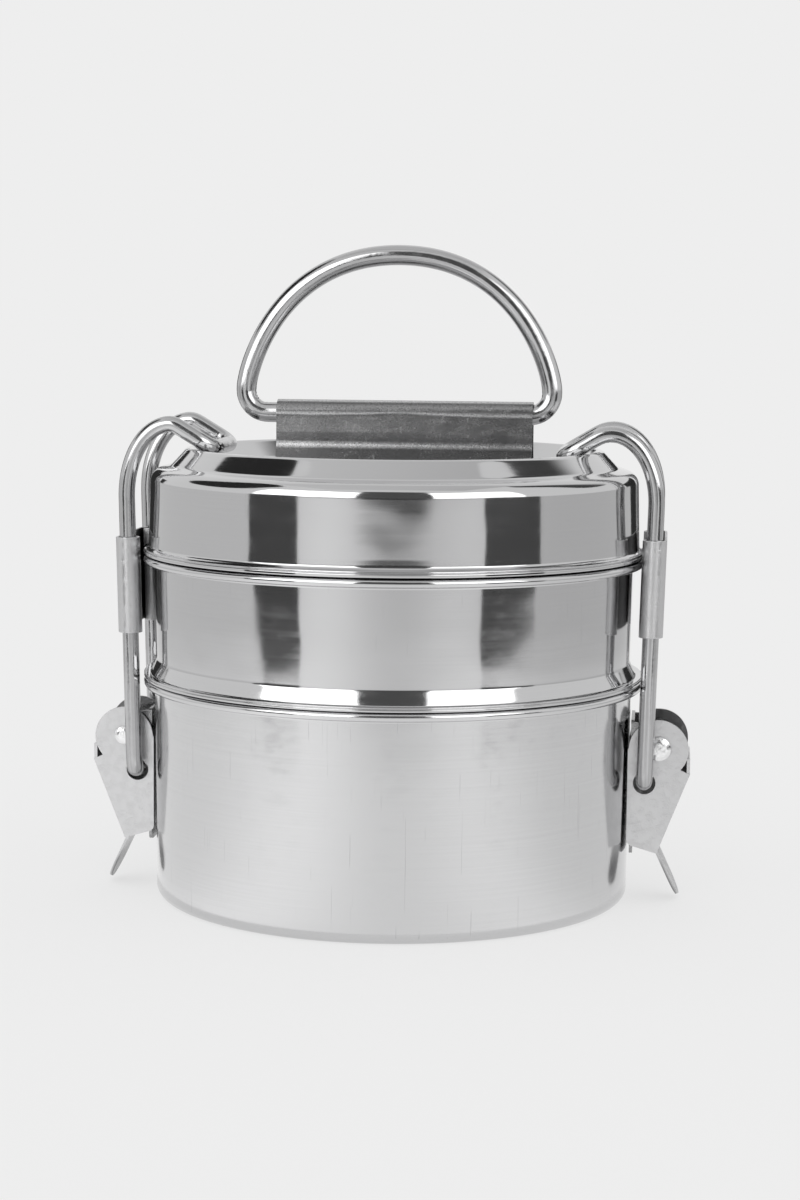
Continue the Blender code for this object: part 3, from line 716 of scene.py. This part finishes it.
# ---- materials ----
class Finish:
    """Node material for steel. Positions are the grain attribute's, in millimetres."""

    def __init__(self, name, colour):
        self.material = bpy.data.materials.new(name)
        self.material.use_nodes = True
        self.tree = self.material.node_tree
        self.shader = self.tree.nodes["Principled BSDF"]
        self.shader.inputs["Metallic"].default_value = 1.0
        self.colour = colour
        self.grain = self.tree.nodes.new("ShaderNodeAttribute")
        self.grain.attribute_name = "grain"
        self.normal = None

    def node(self, kind, **settings):
        made = self.tree.nodes.new(kind)
        for key, value in settings.items():
            setattr(made, key, value)
        return made

    def link(self, value, socket):
        if isinstance(value, (int, float)):
            socket.default_value = value
        else:
            self.tree.links.new(value, socket)

    def at(self, x, y, z, shift=0.0):
        """Grain position, stretched by one factor along each axis."""
        made = self.node("ShaderNodeVectorMath", operation="MULTIPLY_ADD")
        self.link(self.grain.outputs["Vector"], made.inputs[0])
        made.inputs[1].default_value = (x, y, z)
        made.inputs[2].default_value = (shift, shift * 0.7, -shift)
        return made.outputs[0]

    def noise(self, where, detail=3.0, rough=0.55):
        made = self.node("ShaderNodeTexNoise")
        self.link(where, made.inputs["Vector"])
        made.inputs["Scale"].default_value = 1.0
        made.inputs["Detail"].default_value = detail
        made.inputs["Roughness"].default_value = rough
        return made.outputs["Fac"]

    def ramp(self, value, low, high, to_low, to_high):
        """value from low to high becomes to_low to to_high, and stays there outside."""
        made = self.node("ShaderNodeMapRange", interpolation_type="SMOOTHSTEP")
        self.link(value, made.inputs["Value"])
        made.inputs["From Min"].default_value = low
        made.inputs["From Max"].default_value = high
        made.inputs["To Min"].default_value = to_low
        made.inputs["To Max"].default_value = to_high
        return made.outputs["Result"]

    def math(self, operation, a, b):
        made = self.node("ShaderNodeMath", operation=operation)
        self.link(a, made.inputs[0])
        self.link(b, made.inputs[1])
        return made.outputs[0]

    def bump(self, height, depth):
        """Adds a relief of that depth in millimetres to the surface."""
        made = self.node("ShaderNodeBump")
        made.inputs["Strength"].default_value = 1.0
        made.inputs["Distance"].default_value = depth * MM
        self.link(height, made.inputs["Height"])
        if self.normal is not None:
            self.link(self.normal, made.inputs["Normal"])
        self.normal = made.outputs["Normal"]

    def done(self, shade, roughness):
        """shade scales the steel's colour, and roughness is the shader's."""
        mix = self.node("ShaderNodeMix", data_type="RGBA", blend_type="MIX")
        mix.inputs["A"].default_value = (0.0, 0.0, 0.0, 1.0)
        mix.inputs["B"].default_value = (*self.colour, 1.0)
        self.link(shade, mix.inputs["Factor"])
        self.tree.links.new(mix.outputs["Result"], self.shader.inputs["Base Color"])
        self.link(roughness, self.shader.inputs["Roughness"])
        if self.normal is not None:
            self.link(self.normal, self.shader.inputs["Normal"])
        return self.material

    def stretched_gloss(self, amount):
        """Reflections smear across the polishing lines that run round a turned piece."""
        tangent = self.node("ShaderNodeTangent", direction_type="RADIAL", axis="Z")
        self.link(tangent.outputs["Tangent"], self.shader.inputs["Tangent"])
        self.shader.inputs["Anisotropic"].default_value = amount
        self.shader.inputs["Anisotropic Rotation"].default_value = 0.25


def polished_wall(name, colour, gloss, lines, scratches, smudges):
    """Turned and polished sheet: rings from the polishing wheel, soft waves and fine upright marks."""
    steel = Finish(name, colour)
    rings = steel.noise(steel.at(0.015, 0.015, 7.0), detail=4.0, rough=0.7)
    bands = steel.noise(steel.at(0.03, 0.03, 0.9, 5.0), detail=2.0)
    waves = steel.noise(steel.at(0.045, 0.045, 0.06, 11.0), detail=1.0)
    marks = steel.noise(steel.at(2.6, 2.6, 0.035, 3.0), detail=2.0)
    cloud = steel.noise(steel.at(0.14, 0.14, 0.25, 7.0), detail=5.0)
    steel.bump(waves, 0.18)
    steel.bump(rings, 0.0016 * lines)
    steel.bump(marks, 0.003 * scratches)
    blur = steel.ramp(cloud, 0.48, 0.7, gloss, gloss + smudges)
    rough = steel.math("ADD", blur, steel.ramp(bands, 0.3, 0.7, 0.0, 0.02))
    hair = steel.ramp(marks, 0.68, 0.73, 1.0, 1.0 - 0.13 * scratches)
    ring_shade = steel.ramp(rings, 0.3, 0.7, 1.0 - 0.03 * lines, 1.0)
    shade = steel.math("MULTIPLY", hair, ring_shade)
    steel.stretched_gloss(0.55)
    return steel.done(shade, rough)


def wire_finish():
    """Drawn wire: long clean streaks along it, with a few thin dark die lines."""
    steel = Finish("drawn_wire_steel", (0.56, 0.56, 0.565))
    streaks = steel.noise(steel.at(0.9, 0.9, 0.012), detail=3.0, rough=0.6)
    lines = steel.noise(steel.at(2.6, 2.6, 0.02, 4.0), detail=2.0, rough=0.6)
    dents = steel.noise(steel.at(0.35, 0.35, 0.22, 8.0), detail=2.0)
    steel.bump(streaks, 0.06)
    steel.bump(lines, 0.012)
    steel.bump(dents, 0.05)
    rough = steel.ramp(dents, 0.4, 0.7, 0.11, 0.2)
    die_lines = steel.ramp(lines, 0.3, 0.4, 0.55, 1.0)
    shade = steel.math("MULTIPLY", die_lines, steel.ramp(streaks, 0.35, 0.6, 0.8, 1.0))
    return steel.done(shade, rough)


def satin_finish(name, colour, roughness):
    """Pressed sheet: a fine tumbled texture, shallow arcs from the press tool, scuffs, and painted shade on
    marked inner faces.
    """
    steel = Finish(name, colour)
    grit = steel.noise(steel.at(5.0, 5.0, 5.0), detail=3.0)
    scuff = steel.noise(steel.at(0.5, 0.5, 0.5, 9.0), detail=5.0, rough=0.65)
    centre = steel.node("ShaderNodeVectorMath", operation="SUBTRACT")
    steel.link(steel.at(1.0, 0.0, 1.0), centre.inputs[0])
    centre.inputs[1].default_value = (PIVOT_X - 14.0, 0.0, PIVOT_Z + 16.0)
    reach = steel.node("ShaderNodeVectorMath", operation="LENGTH")
    steel.link(centre.outputs[0], reach.inputs[0])
    arcs = steel.node("ShaderNodeTexNoise", noise_dimensions="1D")
    steel.link(reach.outputs["Value"], arcs.inputs["W"])
    arcs.inputs["Scale"].default_value = 0.9
    arcs.inputs["Detail"].default_value = 3.0
    patch = steel.math("MULTIPLY", arcs.outputs["Fac"], steel.ramp(scuff, 0.45, 0.62, 0.0, 1.0))
    steel.bump(grit, 0.012)
    steel.bump(patch, 0.05)
    rough = steel.ramp(scuff, 0.35, 0.65, roughness - 0.04, roughness + 0.04)
    # Marked inner faces are painted darker, down to 0.35 of the colour: painted shade.
    inside = steel.node("ShaderNodeAttribute", attribute_name="painted_shade").outputs["Fac"]
    wear_and_sheen = steel.ramp(scuff, 0.35, 0.7, 1.0, 0.95)
    shade = steel.math("MULTIPLY", wear_and_sheen, steel.ramp(inside, 0.0, 1.0, 1.0, 0.35))
    return steel.done(shade, rough)


def dull_finish():
    """Mill-finish sheet of the saddle and clip brackets: speckled, scratched, painted highlights and shade
    on the saddle.
    """
    steel = Finish("dull_sheet_steel", (0.62, 0.62, 0.625))
    rolling = steel.noise(steel.at(0.08, 2.2, 2.6), detail=4.0, rough=0.7)
    upright = steel.noise(steel.at(2.4, 2.4, 0.16, 6.0), detail=3.0)
    specks = steel.noise(steel.at(2.6, 2.6, 2.6, 2.0), detail=3.0)
    scuff = steel.noise(steel.at(0.2, 0.5, 0.5, 8.0), detail=5.0, rough=0.7)
    steel.bump(rolling, 0.02)
    steel.bump(specks, 0.03)
    # This attribute adds painted highlights and painted shade on the saddle, and an even lift of tone on the
    # brackets.
    tone_and_light_lift = steel.node("ShaderNodeAttribute", attribute_name="tone_and_painted_light").outputs["Fac"]
    wear_and_sheen = steel.math("MULTIPLY", tone_and_light_lift, steel.ramp(specks, 0.35, 0.6, 0.55, 1.0))
    lines = steel.ramp(upright, 0.58, 0.66, 0.0, 0.3)
    scratch = steel.math("MULTIPLY", lines, steel.ramp(scuff, 0.5, 0.62, 0.0, 1.0))
    bare = steel.ramp(specks, 0.34, 0.46, 0.17, 0.3)
    shade = steel.math("ADD", steel.math("ADD", bare, scratch), wear_and_sheen)
    rough = steel.ramp(scuff, 0.35, 0.65, 0.2, 0.3)
    return steel.done(shade, rough)


def mark(mesh, name, value):
    """Point attribute for the materials: value(place) with the place in millimetres."""
    layer = mesh.attributes.new(name, "FLOAT", "POINT")
    for vert, entry in zip(mesh.vertices, layer.data):
        entry.value = value(vert.co / MM)
    return mesh


def lever_shaded_inside(place):
    """1 inside the lever's round top and on the tab's inner face, which are painted darker than the rest:
    painted shade.
    """
    out = (place.x - WEB_HEEL[0]) * math.cos(TAB_LEAN) + (place.z - WEB_HEEL[1]) * math.sin(TAB_LEAN)
    if place.z < WEB_HEEL[1] - 0.5:
        return 1.0 if out < 0.0 else 0.0
    return 1.0 if place.z > 36.0 and abs(place.y) < LEVER_HALF_Y - LEVER_SHEET + 0.1 else 0.0


# ---- pieces ----
def add_piece(node, mesh, material, body, sheet_edge=0.0):
    """One fine piece in place of a CAD node. sheet_edge rounds the cut edges of folded sheet."""
    mesh.materials.clear()
    mesh.materials.append(material)
    obj = bpy.data.objects.new(node + "_fine", mesh)
    bpy.context.scene.collection.objects.link(obj)
    if sheet_edge > 0.0:
        bevel = obj.modifiers.new("cut_edges", "BEVEL")
        bevel.width = sheet_edge * MM
        bevel.segments = 2
        bevel.limit_method = "ANGLE"
        bevel.angle_limit = math.radians(35.0)
        bevel.harden_normals = True
    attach(obj, body)
    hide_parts(node)
    return obj


def build_carrier():
    satin_wall = polished_wall("satin_container_steel", (0.64, 0.64, 0.645), 0.12, 1.5, 1.2, 0.06)
    bright_wall = polished_wall("polished_container_steel", (0.61, 0.61, 0.615), 0.08, 1.0, 0.5, 0.03)
    lid_steel = polished_wall("polished_lid_steel", (0.61, 0.61, 0.615), 0.07, 0.8, 0.25, 0.02)
    wire_steel = wire_finish()
    satin = satin_finish("satin_pressed_steel", (0.6, 0.6, 0.605), 0.34)
    rivet_steel = satin_finish("hammered_rivet_steel", (0.84, 0.84, 0.845), 0.2)
    dull = dull_finish()

    add_piece("bottom_container", bottom_container(), satin_wall, "base")
    add_piece("upper_container", upper_container(), bright_wall, "upper_tier")
    add_piece("lid", lid(), lid_steel, "cover")
    add_piece("handle_bracket", handle_bracket(), dull, "cover", 0.1)
    handle = tube("carry_handle_fine", handle_path(), HANDLE_WIRE_R, sides=32, ripple=0.22)
    add_piece("carry_handle", handle, wire_steel, "handle")

    # The brackets' tone is lifted evenly, the same everywhere on them.
    bracket = mark(latch_bracket(), "tone_and_painted_light", lambda place: 0.3)
    # The lever's inner faces are marked for painted shade.
    lever = mark(latch_lever(), "painted_shade", lever_shaded_inside)
    clip = {
        "latch_bracket": (bracket, dull, "base", "dull_steel", 0.15),
        "latch_rivet": (latch_rivet(), rivet_steel, "base", "wire_steel", 0.0),
        "latch_lever": (lever, satin, "lever", "satin_steel", 0.22),
    }
    for side, turn in (("right", 0.0), ("left", math.pi)):
        for piece, (mesh, material, body, slot, edge) in clip.items():
            placed = mesh.copy()
            placed.transform(Matrix.Rotation(turn, 4, "Z"))
            rides_on = body if body == "base" else f"{side}_{body}"
            add_piece(f"{side}_{piece}", placed, material, rides_on, edge)
        wire = tube("bail_wire_fine", bail_path(side), WIRE_R, ripple=0.15)
        plate = bail_plate(side)
        for mesh in (wire, plate):
            mesh.transform(Matrix.Rotation(turn, 4, "Z"))
        add_piece(f"{side}_bail_wire", wire, wire_steel, f"{side}_bail")
        add_piece(f"{side}_bail_plate", plate, satin, f"{side}_bail", 0.15)


# ---- studio ----
CAMERA_PLACE = (0.0749, -0.6960, 0.1624)
CAMERA_HEADING = math.radians(6.0)
CAMERA_PITCH = math.radians(6.51)
CAMERA_ROLL = math.radians(0.5)
CAMERA_LENS = 75.19
BACKGROUND = 0.855
# Curtain and table top: lengths in metres from the carrier's axis, spans in degrees to each side.
CURTAIN_REACH = 0.9
CURTAIN_HEIGHT = 0.16
CURTAIN_SPAN = 140.0
EDGE_SOFTNESS = 0.021
TABLE_INNER = 0.07
TABLE_WIDTH = 1.23
TABLE_SPAN = 179.9


def towards(azimuth):
    """Level direction from the carrier, in degrees to the right of the camera as it looks."""
    angle = CAMERA_HEADING + math.radians(azimuth)
    return Vector((math.sin(angle), -math.cos(angle), 0.0))


def add_camera():
    right = Vector((math.cos(CAMERA_HEADING), math.sin(CAMERA_HEADING), 0.0))
    level = Vector((-math.sin(CAMERA_HEADING), math.cos(CAMERA_HEADING), 0.0))
    ahead = level * math.cos(CAMERA_PITCH) - Vector((0.0, 0.0, math.sin(CAMERA_PITCH)))
    up = right.cross(ahead)
    turn = Matrix((right, up, -ahead)).transposed().to_4x4()
    data = bpy.data.cameras.new("studio_camera")
    data.lens = CAMERA_LENS
    data.sensor_width = 36.0
    data.clip_end = 200.0
    camera = bpy.data.objects.new("studio_camera", data)
    bpy.context.scene.collection.objects.link(camera)
    lean = Matrix.Rotation(CAMERA_ROLL, 4, "Z")
    camera.matrix_world = Matrix.Translation(CAMERA_PLACE) @ turn @ lean
    bpy.context.scene.camera = camera


def emission(name, strength, across=None, fade=None):
    """Even glow. fade is the stretch along the across direction where it turns into the background's."""
    material = bpy.data.materials.new(name)
    material.use_nodes = True
    tree = material.node_tree
    tree.nodes.clear()
    glow = tree.nodes.new("ShaderNodeEmission")
    glow.inputs["Color"].default_value = (1.0, 1.0, 1.0, 1.0)
    glow.inputs["Strength"].default_value = strength
    if fade is not None:
        place = tree.nodes.new("ShaderNodeTexCoord")
        along = tree.nodes.new("ShaderNodeVectorMath")
        along.operation = "DOT_PRODUCT"
        along.inputs[1].default_value = across
        tree.links.new(place.outputs["Object"], along.inputs[0])
        blend = tree.nodes.new("ShaderNodeMapRange")
        blend.interpolation_type = "SMOOTHSTEP"
        blend.inputs["From Min"].default_value = fade[0]
        blend.inputs["From Max"].default_value = fade[1]
        blend.inputs["To Min"].default_value = strength
        blend.inputs["To Max"].default_value = BACKGROUND
        tree.links.new(along.outputs["Value"], blend.inputs["Value"])
        tree.links.new(blend.outputs["Result"], glow.inputs["Strength"])
    output = tree.nodes.new("ShaderNodeOutputMaterial")
    tree.links.new(glow.outputs[0], output.inputs["Surface"])
    return material


def studio_card(
    name, azimuth, distance, low, high, half_width, strength, corner=0.02, lean=0.0, cut=0.0, fade=None
):
    """Upright board round the carrier that only shows as a reflection in the steel.

    low and high are heights and half_width is along the board, all in metres. lean slants the lower
    edge, rising to the right as seen from the carrier; cut takes off the lower left corner.
    """
    outline = [(-half_width, high, corner), (-half_width, low - lean + cut, corner)]
    if cut > 0.0:
        outline.append((-half_width + 1.5 * cut, low - lean, corner))
    outline += [(half_width, low + lean, corner), (half_width, high, corner)]
    facing = towards(azimuth)
    across = Vector((-facing.y, facing.x, 0.0))
    bm = bmesh.new()
    points = rounded(outline, closed=True)
    verts = [bm.verts.new(facing * distance + across * u + Vector((0.0, 0.0, v))) for u, v in points]
    bm.faces.new(verts)
    mesh = bpy.data.meshes.new(name)
    bm.to_mesh(mesh)
    bm.free()
    mesh.materials.append(emission(name, strength, across, fade))
    card = bpy.data.objects.new(name, mesh)
    bpy.context.scene.collection.objects.link(card)
    card.visible_camera = False
    card.visible_diffuse = False
    card.visible_shadow = False


def painted_board(name, columns, rows, place, paint):
    """Glowing board that only shows as a reflection.

    place(u, v) gives its points and paint(u, v) its strength there, with u and v from 0 to 1.
    """
    bm = bmesh.new()
    glow = bm.verts.layers.float.new("glow")
    grid = []
    for j in range(rows + 1):
        line = []
        for i in range(columns + 1):
            vert = bm.verts.new(place(i / columns, j / rows))
            vert[glow] = paint(i / columns, j / rows)
            line.append(vert)
        grid.append(line)
    for low, high in zip(grid, grid[1:]):
        for k in range(columns):
            bm.faces.new((low[k], low[k + 1], high[k + 1], high[k]))
    mesh = bpy.data.meshes.new(name)
    bm.to_mesh(mesh)
    bm.free()
    material = emission(name, 1.0)
    tree = material.node_tree
    read = tree.nodes.new("ShaderNodeAttribute")
    read.attribute_name = "glow"
    tree.links.new(read.outputs["Fac"], tree.nodes["Emission"].inputs["Strength"])
    mesh.materials.append(material)
    board = bpy.data.objects.new(name, mesh)
    bpy.context.scene.collection.objects.link(board)
    board.visible_camera = False
    board.visible_diffuse = False
    board.visible_shadow = False


def soft_step(value):
    value = min(1.0, max(0.0, value))
    return value * value * (3.0 - 2.0 * value)


def two_pools(azimuth, level, lean, left, right):
    """Even light round the carrier, a little stronger on the left, with a soft pool to each side.

    left and right are each pool's azimuth and half width in degrees, and its strength.
    """
    value = level - lean * math.sin(math.radians(azimuth))
    for centre, half_width, strength in (left, right):
        value += strength * math.exp(-(((azimuth - centre) / half_width) ** 2))
    return value


def wall_glow(azimuth, height):
    """Low curtain, lit up to a soft edge. Behind the camera the edge is lower, and dark above it."""
    side = abs(azimuth)
    lit = two_pools(azimuth, 0.65, 0.05, (-30.0, 20.0, 0.3), (35.0, 20.0, 0.2))
    edge = 0.085 + 0.031 * soft_step((side - 4.0) / 20.0) + 0.4 * soft_step((side - 44.0) / 6.0)
    above = 0.045 + 0.455 * soft_step((side - 12.0) / 8.0)
    return above + (lit - above) * soft_step((edge - height) / EDGE_SOFTNESS + 0.5)


def floor_glow(azimuth, reach):
    """Table top: brightest to both sides of the camera, darker further out, smudged between."""
    near = two_pools(azimuth, 0.85, 0.05, (-40.0, 30.0, 0.25), (35.0, 25.0, 0.2))
    far = two_pools(azimuth, 0.65, 0.05, (-30.0, 20.0, 0.3), (30.0, 20.0, 0.2))
    value = near + (far - near) * soft_step((reach - 0.36) / 0.2)
    smudge = math.exp(-(((reach - 0.38) / 0.035) ** 2) - (azimuth / 18.0) ** 2)
    return value * (1.0 - 0.25 * smudge)


def add_glow():
    """Painted curtain and table top round the carrier."""
    up = Vector((0.0, 0.0, 1.0))

    def turn(u, span):
        return (2.0 * u - 1.0) * span

    painted_board(
        "low_curtain", 140, 16,
        lambda u, v: towards(turn(u, CURTAIN_SPAN)) * CURTAIN_REACH + up * (v * CURTAIN_HEIGHT),
        lambda u, v: wall_glow(turn(u, CURTAIN_SPAN), v * CURTAIN_HEIGHT),
    )
    painted_board(
        "table_glow", 120, 30,
        lambda u, v: towards(turn(u, TABLE_SPAN)) * (TABLE_INNER + TABLE_WIDTH * v) + up * 0.002,
        lambda u, v: floor_glow(turn(u, TABLE_SPAN), TABLE_INNER + TABLE_WIDTH * v),
    )
    painted_board(
        "ceiling", 1, 1,
        lambda u, v: towards(90.0) * turn(u, 0.9) + towards(0.0) * turn(v, 0.9) + up * 2.0,
        lambda u, v: 0.76 - 0.14 * u,
    )


def add_floor():
    """Wide pale floor that meets a background of the same brightness, with a faint soft shadow."""
    half = 60.0
    bm = bmesh.new()
    corners = ((-half, -half), (half, -half), (half, half), (-half, half))
    bm.faces.new([bm.verts.new((x, y, 0.0)) for x, y in corners])
    mesh = bpy.data.meshes.new("studio_floor")
    bm.to_mesh(mesh)
    bm.free()
    material = bpy.data.materials.new("studio_floor")
    material.use_nodes = True
    tree = material.node_tree
    tree.nodes.clear()
    diffuse = tree.nodes.new("ShaderNodeBsdfDiffuse")
    diffuse.inputs["Color"].default_value = (0.8, 0.8, 0.8, 1.0)
    glow = tree.nodes.new("ShaderNodeEmission")
    shadow_share = 0.3
    glow.inputs["Strength"].default_value = BACKGROUND * (1.0 - shadow_share * 0.8) / (1.0 - shadow_share)
    mix = tree.nodes.new("ShaderNodeMixShader")
    mix.inputs["Fac"].default_value = shadow_share
    output = tree.nodes.new("ShaderNodeOutputMaterial")
    tree.links.new(glow.outputs[0], mix.inputs[1])
    tree.links.new(diffuse.outputs[0], mix.inputs[2])
    tree.links.new(mix.outputs[0], output.inputs["Surface"])
    mesh.materials.append(material)
    floor = bpy.data.objects.new("studio_floor", mesh)
    bpy.context.scene.collection.objects.link(floor)


def add_light():
    world = bpy.data.worlds.new("studio")
    world.use_nodes = True
    sky = world.node_tree.nodes["Background"]
    sky.inputs["Color"].default_value = (1.0, 1.0, 1.0, 1.0)
    sky.inputs["Strength"].default_value = BACKGROUND
    bpy.context.scene.world = world
    studio_card("left_flag", -52.7, 0.425, 0.0, 0.15, 0.088, 0.065, corner=0.012, cut=0.035)
    studio_card("right_flag", 51.7, 0.425, 0.015, 0.14, 0.1, 0.075, corner=0.012, lean=0.015)
    studio_card("left_softbox", -40.0, 0.95, 0.15, 0.95, 0.46, 2.6, corner=0.05)
    studio_card("right_softbox", 37.0, 0.95, 0.15, 0.95, 0.42, 2.3, corner=0.05)
    studio_card("left_high_flag", -103.5, 1.0, 0.55, 1.95, 0.5, 0.03, corner=0.45)
    studio_card("right_high_flag", 119.0, 1.0, 0.55, 1.95, 0.29, 0.07, corner=0.28, fade=(0.0, 0.27))
    for side, name in ((-1, "left"), (1, "right")):
        studio_card(f"{name}_back_flag", side * 150.0, 1.0, 0.0, 0.35, 0.28, 0.03)
    studio_card("camera_side_dark", 0.0, 0.88, 0.16, 1.1, 0.27, 0.1)
    add_glow()


bpy.context.scene.view_settings.view_transform = "Standard"
add_camera()
add_floor()
add_light()
build_carrier()
